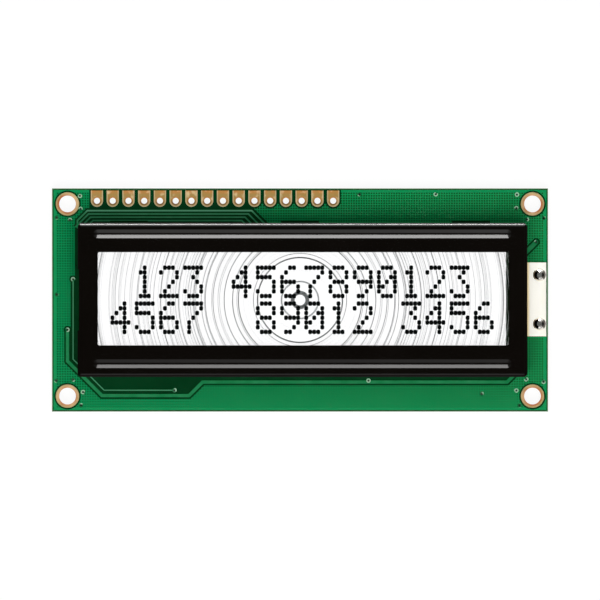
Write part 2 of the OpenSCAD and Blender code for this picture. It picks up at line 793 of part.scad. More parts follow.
// Flat sheet centred in the bezel, from one level up to another
module cell_sheet(l, w, z0, z1) {
    translate([bezel_shift - l / 2, -w / 2, z0]) cube([l, w, z1 - z0]);
}

module polarizer(z) {
    translate([window_x - window_l / 2 - polarizer_margin,
               window_y - window_w / 2 - polarizer_margin, z])
        cube([window_l + polarizer_margin - polarizer_short, window_w + 2 * polarizer_margin,
              polarizer_t]);
}

module front_polarizer() {
    color("gainsboro", 0.4) polarizer(front_glass_top);
}

module front_glass() {
    color("lightcyan", 0.4)
        cell_sheet(glass_l, front_glass_w, front_glass_under, front_glass_top);
}

// Outline of the seal's inner edge
module seal_inside() {
    square([glass_l - 2 * (seal_inset + seal_w), between_strips - 2 * (seal_inset + seal_w)],
           center = true);
}

module liquid_crystal() {
    color("whitesmoke", 0.5)
    translate([bezel_shift, 0, rear_glass_top]) linear_extrude(cell_gap) seal_inside();
}

module cell_seal() {
    color("darkslategray")
    translate([bezel_shift, 0, rear_glass_top]) linear_extrude(cell_gap) difference() {
        square([glass_l - 2 * seal_inset, between_strips - 2 * seal_inset], center = true);
        seal_inside();
        translate([-glass_l / 2 - 1, -port_w / 2]) square([seal_inset + seal_w + 2, port_w]);
    }
}

// Cured drop over the filling port, with a tongue into the port
module port_plug() {
    drop_w = port_w + 1;
    drop_r = (drop_w * drop_w / 4 + plug_depth * plug_depth) / (2 * plug_depth);
    end = bezel_shift - glass_l / 2;
    color("khaki")
    union() {
        translate([0, 0, rear_glass_under + glass_t / 2])
            linear_extrude(glass_t + cell_gap) intersection() {
                translate([end - plug_depth + drop_r, 0]) circle(drop_r, $fn = 180);
                translate([end - plug_depth, -drop_w]) square([plug_depth, 2 * drop_w]);
            }
        translate([end - eps, -port_w / 2, rear_glass_top])
            cube([seal_inset + seal_w + eps, port_w, cell_gap]);
    }
}

module rear_glass() {
    color("lightcyan", 0.4)
        cell_sheet(glass_l, between_strips, rear_glass_under, rear_glass_top);
}

module rear_polarizer() {
    color("gainsboro", 0.4) polarizer(rear_glass_under - polarizer_t);
}

module connector_strip(s) {
    translate([bezel_shift - strip_l / 2, s * bead_y - strip_w / 2, seat])
        cube([strip_l, strip_w, strip_h]);
}

module upper_connector_strip() {
    color("dimgray") connector_strip(1);
}

module lower_connector_strip() {
    color("dimgray") connector_strip(-1);
}

// ---- backlight ----

module backlight_frame() {
    guide_h = frame_top - guide_under;
    color("white")
    difference() {
        translate([frame_x0, -between_strips / 2, seat])
            cube([frame_l, between_strips, frame_top - seat]);
        // seat of the light guide and its reflector, open above
        translate([guide_x0 - guide_gap, -guide_w / 2 - guide_gap, seat + frame_floor])
            cube([guide_x1 + guide_gap - guide_x0 + guide_gap, guide_w + 2 * guide_gap,
                  guide_h + reflector_t + 1]);
        // pocket for the lamps, open below and towards the guide
        translate([guide_x1 - eps, lamp_board_shift - pocket_w / 2, seat - 1])
            cube([frame_x1 - frame_wall - guide_x1, pocket_w, pocket_h + 1]);
        // slot for the lamp board
        translate([lamp_board_x0 - lamp_board_gap, lamp_board_shift - pocket_w / 2, seat - 1])
            cube([lamp_board_in + lamp_board_gap + 1, pocket_w,
                  lamp_board_t + lamp_board_gap + 1]);
    }
}

module diffuser_film() {
    margin = frame_wall / 2;
    color("white", 0.8)
    translate([frame_x0 + margin, -between_strips / 2 + margin, frame_top])
        cube([frame_l - 2 * margin, between_strips - 2 * margin, diffuser_t]);
}

module light_guide() {
    color("aliceblue", 0.5)
    translate([guide_x0, -guide_w / 2, guide_under])
        cube([guide_x1 - guide_x0, guide_w, frame_top - guide_under]);
}

module reflector_sheet() {
    color("white")
    translate([guide_x0, -guide_w / 2, seat + frame_floor])
        cube([lamp_board_x0 - lamp_board_gap - guide_x0, guide_w, reflector_t]);
}

module lamp_board() {
    color("ivory")
    difference() {
        translate([lamp_board_x0, lamp_board_shift - lamp_board_w / 2, seat])
            cube([lamp_board_x1 - lamp_board_x0, lamp_board_w, lamp_board_t]);
        for (l = leads) translate([l[0], l[1], seat - 1])
            cylinder(d = lead_hole_d, h = lamp_board_t + 2);
    }
}

module lamp_pads() {
    color("silver")
    for (l = leads) translate([l[0], l[1], lamp_board_top]) difference() {
        cylinder(d = solder_d, h = copper_t);
        translate([0, 0, -1]) cylinder(d = lead_hole_d, h = copper_t + 2);
    }
}

module lamps() {
    color("lightyellow")
    for (i = [0 : lamp_count - 1])
        translate([lamp_x0, lamp_board_shift + (i - (lamp_count - 1) / 2) * lamp_pitch,
                   lamp_board_top]) union() {
            translate([0, -lamp_y / 2, 0]) cube([lamp_x, lamp_y, lamp_h]);
            translate([0, 0, lamp_h / 2]) rotate([0, -90, 0]) cap(lens_d / 2, lens_h);
        }
}

module lead_pads() {
    color("silver")
    for (l = leads) translate([l[0], l[1], 0]) difference() {
        union() {
            translate([0, 0, under_seat]) cylinder(d = back_solder_d, h = copper_t);
            translate([0, 0, board_back])
                cylinder(d = lead_hole_d + 2 * plating_t, h = board_t + copper_t);
        }
        translate([0, 0, under_seat - 1]) cylinder(d = lead_hole_d, h = board_t + 3);
    }
}

module lead_wires() {
    low = under_seat - back_solder_h - lead_stub;
    high = lamp_board_top + copper_t + solder_h + lead_stub;
    color("silver")
    for (l = leads) translate([l[0], l[1], low]) cylinder(d = lead_d, h = high - low);
}

module tab_solder() {
    color("lightgray")
    for (l = leads) translate([l[0], l[1], lamp_board_top + copper_t])
        cap(solder_d / 2, solder_h, lead_d / 2);
}

module back_solder() {
    color("lightgray")
    for (l = leads) translate([l[0], l[1], under_seat - back_solder_h]) difference() {
        cylinder(d1 = lead_d + 0.2, d2 = back_solder_d - 0.1, h = back_solder_h);
        translate([0, 0, -1]) cylinder(d = lead_d, h = back_solder_h + 2);
    }
}

// ---- back of the board ----

// Epoxy dome with a level top, hanging from the board's back
module epoxy_dome(d) {
    crown = dome_h * dome_crown;
    intersection() {
        translate([0, 0, board_back]) mirror([0, 0, 1]) cap(d / 2, crown);
        translate([0, 0, dome_h / 2]) cube([2 * d, 2 * d, dome_h], center = true);
    }
}

module controller_dome() {
    color([0.05, 0.05, 0.05]) translate([-controller_x, 0, 0]) epoxy_dome(controller_d);
}

module driver_dome() {
    color([0.05, 0.05, 0.05]) translate([driver_x, 0, 0]) epoxy_dome(driver_d);
}

// One chip part's body, hanging under the board's back
module chip_body(size) {
    translate([-size[0] / 2 + cap_t, -size[1] / 2, board_back - size[2] + cap_t])
        cube([size[0] - 2 * cap_t, size[1], size[2] - 2 * cap_t]);
}

// The two metal caps that wrap its ends
module chip_ends(size) {
    for (s = [-1, 1]) difference() {
        translate([s * (size[0] - cap_l) / 2, 0, board_back - size[2] / 2])
            cube([cap_l, size[1], size[2]], center = true);
        translate([0, 0, board_back - size[2] / 2])
            cube([size[0] - 2 * cap_t, size[1] + 1, size[2] - 2 * cap_t], center = true);
    }
}

// Sloped solder outside both ends
module chip_fillets(size) {
    rise = size[2] * 0.7;
    for (s = [0, 1]) mirror([s, 0, 0])
        translate([size[0] / 2, 0, board_back]) rotate([90, 0, 0])
            linear_extrude(size[1] - 0.1, center = true)
                polygon([[0, 0], [fillet_l, 0], [fillet_l * 0.3, -rise * 0.45], [0, -rise]]);
}

module chip_resistors() {
    color([0.1, 0.1, 0.11])
    for (c = resistors) translate([c[0], c[1], 0]) chip_body(resistor_size);
}

module chip_capacitors() {
    color("tan")
    for (c = capacitors) translate([c[0], c[1], 0]) chip_body(capacitor_size);
}

module chip_caps() {
    color("silver") {
        for (c = resistors) translate([c[0], c[1], 0]) chip_ends(resistor_size);
        for (c = capacitors) translate([c[0], c[1], 0]) chip_ends(capacitor_size);
    }
}

module chip_solder() {
    color("lightgray") {
        for (c = resistors) translate([c[0], c[1], 0]) chip_fillets(resistor_size);
        for (c = capacitors) translate([c[0], c[1], 0]) chip_fillets(capacitor_size);
    }
}

circuit_board();
front_fields();
front_tracks();
back_fields();
back_tracks();
header_pads();
mounting_rings();
vias();
via_plugs();
contact_pads();
bezel();
front_polarizer();
front_glass();
liquid_crystal();
cell_seal();
port_plug();
rear_glass();
rear_polarizer();
upper_connector_strip();
lower_connector_strip();
backlight_frame();
diffuser_film();
light_guide();
reflector_sheet();
lamp_board();
lamp_pads();
lamps();
lead_pads();
lead_wires();
tab_solder();
back_solder();
controller_dome();
driver_dome();
chip_resistors();
chip_capacitors();
chip_caps();
chip_solder();
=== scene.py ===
import bpy
import numpy as np
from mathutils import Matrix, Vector


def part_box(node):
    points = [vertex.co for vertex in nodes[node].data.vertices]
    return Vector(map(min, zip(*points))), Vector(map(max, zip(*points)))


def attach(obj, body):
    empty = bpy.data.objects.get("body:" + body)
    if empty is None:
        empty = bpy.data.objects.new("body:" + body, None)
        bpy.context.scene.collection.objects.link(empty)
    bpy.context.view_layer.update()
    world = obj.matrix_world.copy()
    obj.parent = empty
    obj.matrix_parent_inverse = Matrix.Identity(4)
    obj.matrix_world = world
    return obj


# Looks of a two-line character display: camera, light, materials and the dots of its digits.
# Lengths are in metres, and noises run in turns per metre, unless a note says otherwise.
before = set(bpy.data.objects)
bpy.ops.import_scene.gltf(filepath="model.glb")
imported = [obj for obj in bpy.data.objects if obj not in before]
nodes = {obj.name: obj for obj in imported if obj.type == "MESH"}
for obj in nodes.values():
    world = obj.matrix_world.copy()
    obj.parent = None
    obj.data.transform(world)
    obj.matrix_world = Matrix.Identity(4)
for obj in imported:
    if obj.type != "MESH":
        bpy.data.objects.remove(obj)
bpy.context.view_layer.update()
mm = 0.001
black = (0.0, 0.0, 0.0, 1.0)
print("frame loaded:", len(nodes), "nodes")


# The view is straight down on the board, from far away, so that tall parts don't look larger.
view = {"distance": 4.0, "width": 0.09677, "sensor": 36.0, "clipEnd": 20.0}


def makeCamera():
    # lens = sensor * distance to the board's front / width of the view there
    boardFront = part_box("circuit_board")[1].z
    data = bpy.data.cameras.new("viewCamera")
    data.sensor_width = view["sensor"]
    data.lens = view["sensor"] * (view["distance"] - boardFront) / view["width"]
    data.clip_end = view["clipEnd"]
    camera = bpy.data.objects.new("viewCamera", data)
    camera.location = (0.0, 0.0, view["distance"])
    bpy.context.scene.collection.objects.link(camera)
    bpy.context.scene.camera = camera


makeCamera()
bpy.context.scene.view_settings.view_transform = "Standard"
print("camera placed")


def linear(red, green, blue):
    # a screen colour of 0 to 255 a channel, as the linear colour that shaders take: share / 12.92
    # when dark, otherwise (share + 0.055) / 1.055 to the power 2.4
    share = np.array([red, green, blue]) / 255.0
    dark = share / 12.92
    bright = ((share + 0.055) / 1.055) ** 2.4
    return tuple(float(v) for v in np.where(share <= 0.04045, dark, bright)) + (1.0,)


def feed(tree, socket, given):
    # a link where given is another node's output, otherwise the socket's own value
    if isinstance(given, bpy.types.NodeSocket):
        tree.links.new(given, socket)
    else:
        socket.default_value = given


def calc(tree, operation, *operands):
    # one Math node: the operation on one to three operands, each an output or a number
    node = tree.nodes.new("ShaderNodeMath")
    node.operation = operation
    for slot, operand in enumerate(operands):
        feed(tree, node.inputs[slot], operand)
    return node.outputs[0]


def ramp(tree, value, start, end, toStart=0.0, toEnd=1.0):
    # from toStart to toEnd by the share 3 t^2 - 2 t^3, where t = (value - start) / (end - start),
    # held between 0 and 1
    node = tree.nodes.new("ShaderNodeMapRange")
    node.interpolation_type = "SMOOTHSTEP"
    for socket, given in (("Value", value), ("From Min", start), ("From Max", end),
                          ("To Min", toStart), ("To Max", toEnd)):
        feed(tree, node.inputs[socket], given)
    return node.outputs["Result"]


def blendColour(tree, factor, first, second):
    # (1 - factor) * first + factor * second; a colour mix has its colours in sockets 6 and 7
    node = tree.nodes.new("ShaderNodeMix")
    node.data_type = "RGBA"
    for slot, given in ((0, factor), (6, first), (7, second)):
        feed(tree, node.inputs[slot], given)
    return node.outputs[2]


# Each lamp: place, width and height, power in watts, colour, and whether gloss shows it and matt
# surfaces get its light. The two from above put no haze on the black bezel, the three low cards
# only draw the bright lines along its folds and grooves, and the two glows show in the solder.
lamps = {
    "keyLamp": {"at": (0.0, -0.3, 1.05), "size": (0.6, 0.5), "power": 9.0,
                "tint": (1.0, 0.995, 0.98), "inGloss": False, "onMatt": True},
    "rearFill": {"at": (0.0, 0.45, 1.0), "size": (0.6, 0.4), "power": 1.2,
                 "tint": (0.99, 1.0, 1.0), "inGloss": False, "onMatt": True},
    "rearCard": {"at": (0.0, 0.74, 0.31), "size": (0.36, 0.22), "power": 3.2,
                 "tint": (1.0, 0.99, 0.975), "inGloss": True, "onMatt": False},
    "edgeStrip": {"at": (0.0, 0.8, 0.07), "size": (0.6, 0.06), "power": 11.5,
                  "tint": (1.0, 0.99, 0.97), "inGloss": True, "onMatt": False},
    "frontCard": {"at": (0.0, -0.9, 0.37), "size": (0.6, 0.25), "power": 0.35,
                  "tint": (1.0, 0.99, 0.98), "inGloss": True, "onMatt": False},
    "rearGlow": {"at": (0.0, 0.66, 0.75), "size": (0.5, 0.3), "power": 0.7,
                 "tint": (1.0, 1.0, 1.0), "inGloss": True, "onMatt": False},
    "frontGlow": {"at": (0.0, -0.66, 0.75), "size": (0.5, 0.3), "power": 1.3,
                  "tint": (1.0, 1.0, 1.0), "inGloss": True, "onMatt": False},
}
lampAim = (0.0, 0.0, 0.006)


def makeLamp(name, look):
    # a rectangle of light whose direction is the aim less its own place
    data = bpy.data.lights.new(name, "AREA")
    data.shape = "RECTANGLE"
    data.size, data.size_y = look["size"]
    data.energy = look["power"]
    data.color = look["tint"]
    lamp = bpy.data.objects.new(name, data)
    lamp.location = look["at"]
    lamp.visible_glossy = look["inGloss"]
    lamp.visible_diffuse = look["onMatt"]
    aim = Vector(lampAim) - Vector(look["at"])
    lamp.rotation_euler = aim.to_track_quat("-Z", "Y").to_euler()
    bpy.context.scene.collection.objects.link(lamp)


surroundings = {
    "overhead": 0.02, "band": 0.46,
    "bandTop": 0.88, "overheadFrom": 0.96,  # upward part of the direction
    "endShare": 0.14, "endsWithin": 0.15, "sidesFrom": 0.6,  # the last two are its part along Y
}


def makeWorld():
    # strength = (overhead, or the band below it) * share of the side it comes from, which is less
    # towards both ends of the board than across it
    world = bpy.data.worlds.new("surroundings")
    bpy.context.scene.world = world
    world.use_nodes = True
    tree = world.node_tree
    tree.nodes.clear()
    coords = tree.nodes.new("ShaderNodeTexCoord")
    parts = tree.nodes.new("ShaderNodeSeparateXYZ")
    tree.links.new(coords.outputs["Generated"], parts.inputs[0])
    height = ramp(tree, parts.outputs["Z"], surroundings["bandTop"], surroundings["overheadFrom"],
                  surroundings["band"], surroundings["overhead"])
    across = calc(tree, "ABSOLUTE", parts.outputs["Y"])
    side = ramp(tree, across, surroundings["endsWithin"], surroundings["sidesFrom"],
                surroundings["endShare"], 1.0)
    background = tree.nodes.new("ShaderNodeBackground")
    output = tree.nodes.new("ShaderNodeOutputWorld")
    tree.links.new(calc(tree, "MULTIPLY", height, side), background.inputs["Color"])
    tree.links.new(background.outputs[0], output.inputs["Surface"])


floorLook = {"radii": (0.2, 1.0, 8.0), "sides": 64, "glow": 0.92, "shade": 0.1, "bounce": 0.75}


def makeFloor():
    # a flat disc: point = radius * (cosine, sine of turn) on circles round one in the middle, with
    # triangles out to the first circle and a ring of quads between each two
    sides = floorLook["sides"]
    turns = np.linspace(0.0, 2 * np.pi, sides, endpoint=False)
    radius, turn = np.meshgrid(floorLook["radii"], turns, indexing="ij")
    circles = np.stack([radius * np.cos(turn), radius * np.sin(turn), 0 * radius], -1)
    points = np.vstack([np.zeros((1, 3)), circles.reshape(-1, 3)])
    step = np.arange(sides)
    after = (step + 1) % sides
    inner = np.stack([0 * step, 1 + step, 1 + after], -1)
    start = 1 + sides * np.arange(len(floorLook["radii"]) - 1)[:, None]
    outer = np.stack([start + step, start + sides + step, start + sides + after, start + after], -1)
    mesh = bpy.data.meshes.new("floor")
    mesh.from_pydata(points.tolist(), [], inner.tolist() + outer.reshape(-1, 4).tolist())
    floor = bpy.data.objects.new("floor", mesh)
    bpy.context.scene.collection.objects.link(floor)
    mesh.materials.append(paintFloor())


def paintFloor():
    # what the eye, gloss and glass see = glow + a faint shade that takes shadows; light that
    # spreads over matt pieces meets a plain pale surface instead
    material = bpy.data.materials.new("paleFloor")
    material.use_nodes = True
    tree = material.node_tree
    tree.nodes.clear()
    path = tree.nodes.new("ShaderNodeLightPath")
    eyeOrGloss = calc(tree, "MAXIMUM", path.outputs["Is Camera Ray"], path.outputs["Is Glossy Ray"])
    isSeen = calc(tree, "MAXIMUM", eyeOrGloss, path.outputs["Is Transmission Ray"])
    glow = tree.nodes.new("ShaderNodeEmission")
    glow.inputs["Strength"].default_value = floorLook["glow"]
    shade = tree.nodes.new("ShaderNodeBsdfDiffuse")
    shade.inputs["Color"].default_value = (floorLook["shade"],) * 3 + (1.0,)
    bounce = tree.nodes.new("ShaderNodeBsdfDiffuse")
    bounce.inputs["Color"].default_value = (floorLook["bounce"],) * 3 + (1.0,)
    seen = tree.nodes.new("ShaderNodeAddShader")
    chosen = tree.nodes.new("ShaderNodeMixShader")
    output = tree.nodes.new("ShaderNodeOutputMaterial")
    for given, socket in ((glow, seen.inputs[0]), (shade, seen.inputs[1]),
                          (bounce, chosen.inputs[1]), (seen, chosen.inputs[2]),
                          (chosen, output.inputs["Surface"])):
        tree.links.new(given.outputs[0], socket)
    tree.links.new(isSeen, chosen.inputs[0])
    return material


for lampName, lampLook in lamps.items():
    makeLamp(lampName, lampLook)
makeWorld()
makeFloor()
print("lamps, surroundings and floor placed")


def startGroup(name, inputs, output):
    # a node group with the inputs, name -> kind of socket, and one number as its output
    group = bpy.data.node_groups.new(name, "ShaderNodeTree")
    kinds = {"vector": "NodeSocketVector", "number": "NodeSocketFloat"}
    for socket, kind in inputs.items():
        group.interface.new_socket(socket, in_out="INPUT", socket_type=kinds[kind])
    group.interface.new_socket(output, in_out="OUTPUT", socket_type=kinds["number"])
    return group, group.nodes.new("NodeGroupInput"), group.nodes.new("NodeGroupOutput")


def makeMottle():
    # amount = 0.5 + (noise - 0.5) * contrast
    group, given, out = startGroup(
        "mottle",
        {"Vector": "vector", "Scale": "number", "Detail": "number", "Contrast": "number"},
        "Amount",
    )
    noise = group.nodes.new("ShaderNodeTexNoise")
    for socket in ("Vector", "Scale", "Detail"):
        group.links.new(given.outputs[socket], noise.inputs[socket])
    centred = calc(group, "SUBTRACT", noise.outputs[0], 0.5)
    amount = calc(group, "MULTIPLY_ADD", centred, given.outputs["Contrast"], 0.5)
    group.links.new(amount, out.inputs["Amount"])
    return group


def makeHatch():
    # lines in both directions: away = |fraction of (place / pitch) - 0.5| * 2 along X and along Y,
    # and the line is the larger of the two ramps that start at the opening's share
    group, given, out = startGroup(
        "crossHatch",
        {"Vector": "vector", "Pitch": "number", "Opening": "number", "Softness": "number"},
        "Line",
    )
    parts = group.nodes.new("ShaderNodeSeparateXYZ")
    group.links.new(given.outputs["Vector"], parts.inputs[0])
    opening = given.outputs["Opening"]
    edge = calc(group, "ADD", opening, given.outputs["Softness"])
    lines = []
    for axis in ("X", "Y"):
        turns = calc(group, "DIVIDE", parts.outputs[axis], given.outputs["Pitch"])
        share = calc(group, "FRACT", calc(group, "ADD", turns, wholeTurns))
        away = calc(group, "ABSOLUTE", calc(group, "SUBTRACT", share, 0.5))
        lines.append(ramp(group, calc(group, "MULTIPLY", away, 2.0), opening, edge))
    group.links.new(calc(group, "MAXIMUM", *lines), out.inputs["Line"])
    return group


def makeLevel():
    # 1 on faces that look up or down, 0 on upright ones: a ramp of the normal's Z, without sign
    group, given, out = startGroup("levelFaces", {"Normal": "vector"}, "Level")
    parts = group.nodes.new("ShaderNodeSeparateXYZ")
    group.links.new(given.outputs["Normal"], parts.inputs[0])
    upward = calc(group, "ABSOLUTE", parts.outputs["Z"])
    group.links.new(ramp(group, upward, 0.4, 0.6), out.inputs["Level"])
    return group


def makeBeyond():
    # 1 where the value lies beyond the edge: a ramp from edge to edge + width
    group, given, out = startGroup(
        "beyondEdge", {"Value": "number", "Edge": "number", "Width": "number"}, "Beyond")
    end = calc(group, "ADD", given.outputs["Edge"], given.outputs["Width"])
    beyond = ramp(group, given.outputs["Value"], given.outputs["Edge"], end)
    group.links.new(beyond, out.inputs["Beyond"])
    return group


wholeTurns = 1000.0  # added before a fraction is taken, so that it never starts below nothing
mottle = makeMottle()
crossHatch = makeHatch()
levelFaces = makeLevel()
beyondEdge = makeBeyond()


class Paint:
    # a material with its Principled shader, object coordinates and short ways to add nodes
    def __init__(self, name):
        self.material = bpy.data.materials.new(name)
        self.material.use_nodes = True
        self.tree = self.material.node_tree
        self.tree.nodes.clear()
        self.shader = self.tree.nodes.new("ShaderNodeBsdfPrincipled")
        output = self.tree.nodes.new("ShaderNodeOutputMaterial")
        self.tree.links.new(self.shader.outputs[0], output.inputs["Surface"])
        self.place = self.tree.nodes.new("ShaderNodeTexCoord").outputs["Object"]
        parts = self.tree.nodes.new("ShaderNodeSeparateXYZ")
        self.tree.links.new(self.place, parts.inputs[0])
        self.x, self.y = parts.outputs["X"], parts.outputs["Y"]

    def calc(self, *given):
        return calc(self.tree, *given)

    def ramp(self, *given):
        return ramp(self.tree, *given)

    def mix(self, factor, first, second):
        return blendColour(self.tree, factor, first, second)

    def spread(self, amount, ends):
        # an amount of 0 to 1 as a value between the two ends
        return self.ramp(amount, 0.0, 1.0, *ends)

    def distance(self, first, second):
        # square root of (first squared + second squared)
        squares = [self.calc("MULTIPLY", side, side) for side in (first, second)]
        return self.calc("SQRT", self.calc("ADD", *squares))

    def within(self, value, start, end):
        # 1 where value is no further from the middle of start and end than they are
        return self.calc("COMPARE", value, (start + end) / 2, (end - start) / 2)

    def use(self, group, **values):
        # a placed group; words are its sockets
        node = self.tree.nodes.new("ShaderNodeGroup")
        node.node_tree = group
        for socket, given in values.items():
            feed(self.tree, node.inputs[socket], given)
        return node.outputs[0]

    def noise(self, scale, contrast=1.0, detail=3.0, stretch=None):
        # mottle of the object's own place, each coordinate times its stretch
        place = self.place
        if stretch:
            mapping = self.tree.nodes.new("ShaderNodeMapping")
            mapping.inputs["Scale"].default_value = stretch
            self.tree.links.new(place, mapping.inputs["Vector"])
            place = mapping.outputs[0]
        return self.use(mottle, Vector=place, Scale=scale, Contrast=contrast, Detail=detail)

    def level(self):
        normal = self.tree.nodes.new("ShaderNodeNewGeometry").outputs["Normal"]
        return self.use(levelFaces, Normal=normal)

    def beyond(self, value, edge, width=0.00005):
        return self.use(beyondEdge, Value=value, Edge=edge, Width=width)

    def set(self, **values):
        # words are the shader's sockets, with _ for a space
        for word, given in values.items():
            feed(self.tree, self.shader.inputs[word.replace("_", " ")], given)

    def bump(self, height, depth):
        # the height, times the depth, tilts the shader's normal
        node = self.tree.nodes.new("ShaderNodeBump")
        node.inputs["Distance"].default_value = depth
        node.inputs["Strength"].default_value = 1.0
        self.tree.links.new(height, node.inputs["Height"])
        self.tree.links.new(node.outputs[0], self.shader.inputs["Normal"])

    def cover(self, *names):
        # the named pieces get this material alone
        for name in names:
            slots = nodes[name].data.materials
            slots.clear()
            slots.append(self.material)


print("shared effects made")


# In every dictionary, a noise is (scale, contrast, detail, stretch) or the first of these, and
# rough is the roughness at both ends of the piece's main noise.
boardLook = {
    "bare": linear(0, 50, 20), "bareLight": linear(3, 62, 29), "cloud": (260.0, 1.6),
    "worn": linear(104, 142, 100), "wornReach": 0.00014,
    "laminate": linear(150, 150, 92), "laminateDark": linear(110, 118, 66),
    "layers": (900.0, 2.2, 2.0, (0.25, 0.25, 6.0)), "edgeRough": 0.68, "maskRough": 0.16,
    "grain": 1800.0, "grainDepth": 0.000004,
}


def paintBoard():
    # dark mask, thinned to a pale line along the outline, and layered glass and resin on the
    # edges; roughness = edge + level * (mask - edge)
    look = boardLook
    paint = Paint("boardMask")
    level = paint.level()
    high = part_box("circuit_board")[1]
    worn = [paint.beyond(paint.calc("ABSOLUTE", side), reach - look["wornReach"])
            for side, reach in ((paint.x, high.x), (paint.y, high.y))]
    mask = paint.mix(paint.noise(*look["cloud"]), look["bare"], look["bareLight"])
    mask = paint.mix(paint.calc("MAXIMUM", *worn), mask, look["worn"])
    edge = paint.mix(paint.noise(*look["layers"]), look["laminateDark"], look["laminate"])
    rough = paint.calc("MULTIPLY_ADD", level, look["maskRough"] - look["edgeRough"],
                       look["edgeRough"])
    paint.set(Base_Color=paint.mix(level, edge, mask), Roughness=rough)
    paint.bump(paint.noise(look["grain"]), look["grainDepth"])
    paint.cover("circuit_board")


fieldLook = {
    "line": linear(0, 156, 87), "opening": linear(0, 46, 20),
    "lineLeft": linear(0, 142, 80), "openingLeft": linear(0, 84, 44), "leftShare": 0.1,
    "pitch": 0.000405, "openShare": 0.52, "softShare": 0.22,
    "cloud": (420.0, 1.2), "weave": (0.85, 1.0), "rough": (0.14, 0.2),
    "rim": linear(12, 142, 81), "rimWidth": 0.00045, "paintedLightShare": 0.45,
    "warm": linear(34, 130, 66), "warmShare": 0.3, "shine": 0.3, "lineDepth": 0.000002,
}


def paintFields():
    # a mesh of copper under the mask, with a solid rim: fainter to the left, a little yellower to
    # the right, and painted lighter towards the lower edge, away from the bezel's painted shade
    look = fieldLook
    paint = Paint("hatchedMask")
    low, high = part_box("front_fields")
    line = paint.use(crossHatch, Vector=paint.place, Pitch=look["pitch"],
                     Opening=look["openShare"], Softness=look["softShare"])
    cloud = paint.noise(*look["cloud"])
    weave = paint.calc("MULTIPLY", line, paint.spread(cloud, look["weave"]))
    across = paint.ramp(paint.x, low.x, low.x * look["leftShare"])
    body = paint.mix(weave, paint.mix(across, look["openingLeft"], look["opening"]),
                     paint.mix(across, look["lineLeft"], look["line"]))
    warmth = paint.ramp(paint.x, low.x, high.x, 0.0, look["warmShare"])
    body = paint.mix(warmth, body, look["warm"])
    # painted shade of the bezel: the strip below it turns lighter towards the board's lower edge
    lower = paint.ramp(paint.y, low.y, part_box("bezel")[0].y, look["paintedLightShare"], 0.0)
    body = paint.mix(lower, body, look["rim"])
    rims = [paint.beyond(paint.calc("ABSOLUTE", side), reach - look["rimWidth"])
            for side, reach in ((paint.x, high.x), (paint.y, high.y))]
    paint.set(Base_Color=paint.mix(paint.calc("MAXIMUM", *rims), body, look["rim"]),
              Roughness=paint.spread(cloud, look["rough"]), Specular_IOR_Level=look["shine"])
    paint.bump(line, look["lineDepth"])
    paint.cover("front_fields", "back_fields")


trackLook = {
    "high": linear(28, 140, 82), "low": linear(12, 118, 64), "fine": linear(84, 160, 118),
    "cloud": (700.0, 1.8), "rough": (0.14, 0.22), "cloudDepth": 0.000002,
    # the thin track, from the bezel's lower left corner: its line to the left, where it turns, its
    # line below and its end; then half the width that is told as its own, and how pale it is
    "thinSide": 0.0008, "thinTurn": 0.00285, "thinBelow": 0.00215, "thinEnd": 0.01555,
    "thinReach": 0.00012, "slantReach": 0.00018, "thinShare": 0.65,
    # above the bezel: where the track nearest it, painted darker as painted shade of the bezel,
    # ends and the pale ones begin
    "shadedTo": 0.0017, "paleFrom": 0.002, "shadedShare": 0.35,
}


def paintTracks():
    # the fine tracks are painted paler than the wide ones, as a painted sheen. Above the bezel all
    # are fine, and the ones nearest it are painted darker as painted shade; the thin one beside and
    # below it lies on three lines, each between its two ends: x = side, then x + y = side + turn,
    # then y = run
    look = trackLook
    paint = Paint("trackMask")
    bezelLow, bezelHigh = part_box("bezel")
    sideX = bezelLow.x - look["thinSide"]
    turnY = bezelLow.y + look["thinTurn"]
    runY = bezelLow.y - look["thinBelow"]
    endX = bezelLow.x + look["thinEnd"]
    bendX = sideX + turnY - runY
    slant = paint.calc("ADD", paint.x, paint.y)
    lines = [(paint.calc("COMPARE", paint.x, sideX, look["thinReach"]),
              paint.calc("GREATER_THAN", paint.y, turnY)),
             (paint.calc("COMPARE", slant, sideX + turnY, look["slantReach"]),
              paint.within(paint.y, runY, turnY)),
             (paint.calc("COMPARE", paint.y, runY, look["thinReach"]),
              paint.within(paint.x, bendX, endX))]
    thin = 0.0
    for onLine, between in lines:
        thin = paint.calc("MAXIMUM", thin, paint.calc("MULTIPLY", onLine, between))
    # painted shade: above the bezel the tracks are painted darker nearest it
    upper = paint.calc("MULTIPLY", paint.beyond(paint.y, bezelHigh.y),
                       paint.ramp(paint.y, bezelHigh.y + look["shadedTo"],
                                  bezelHigh.y + look["paleFrom"], look["shadedShare"], 1.0))
    pale = paint.calc("MAXIMUM", upper, paint.calc("MULTIPLY", thin, look["thinShare"]))
    cloud = paint.noise(*look["cloud"])
    body = paint.mix(cloud, look["low"], look["high"])
    paint.set(Base_Color=paint.mix(pale, body, look["fine"]),
              Roughness=paint.spread(cloud, look["rough"]))
    paint.bump(cloud, look["cloudDepth"])
    paint.cover("front_tracks", "back_tracks")


viaLook = {
    "wall": linear(4, 16, 8), "ring": linear(146, 198, 162), "dull": linear(4, 104, 56),
    "cloud": (1300.0, 6.0, 0.0), "glintFrom": 0.5, "rough": (0.25, 0.4),
    "resin": linear(0, 8, 4), "resinLight": linear(2, 16, 8), "grain": (2500.0, 1.5),
    "resinRough": (0.3, 0.45),
}


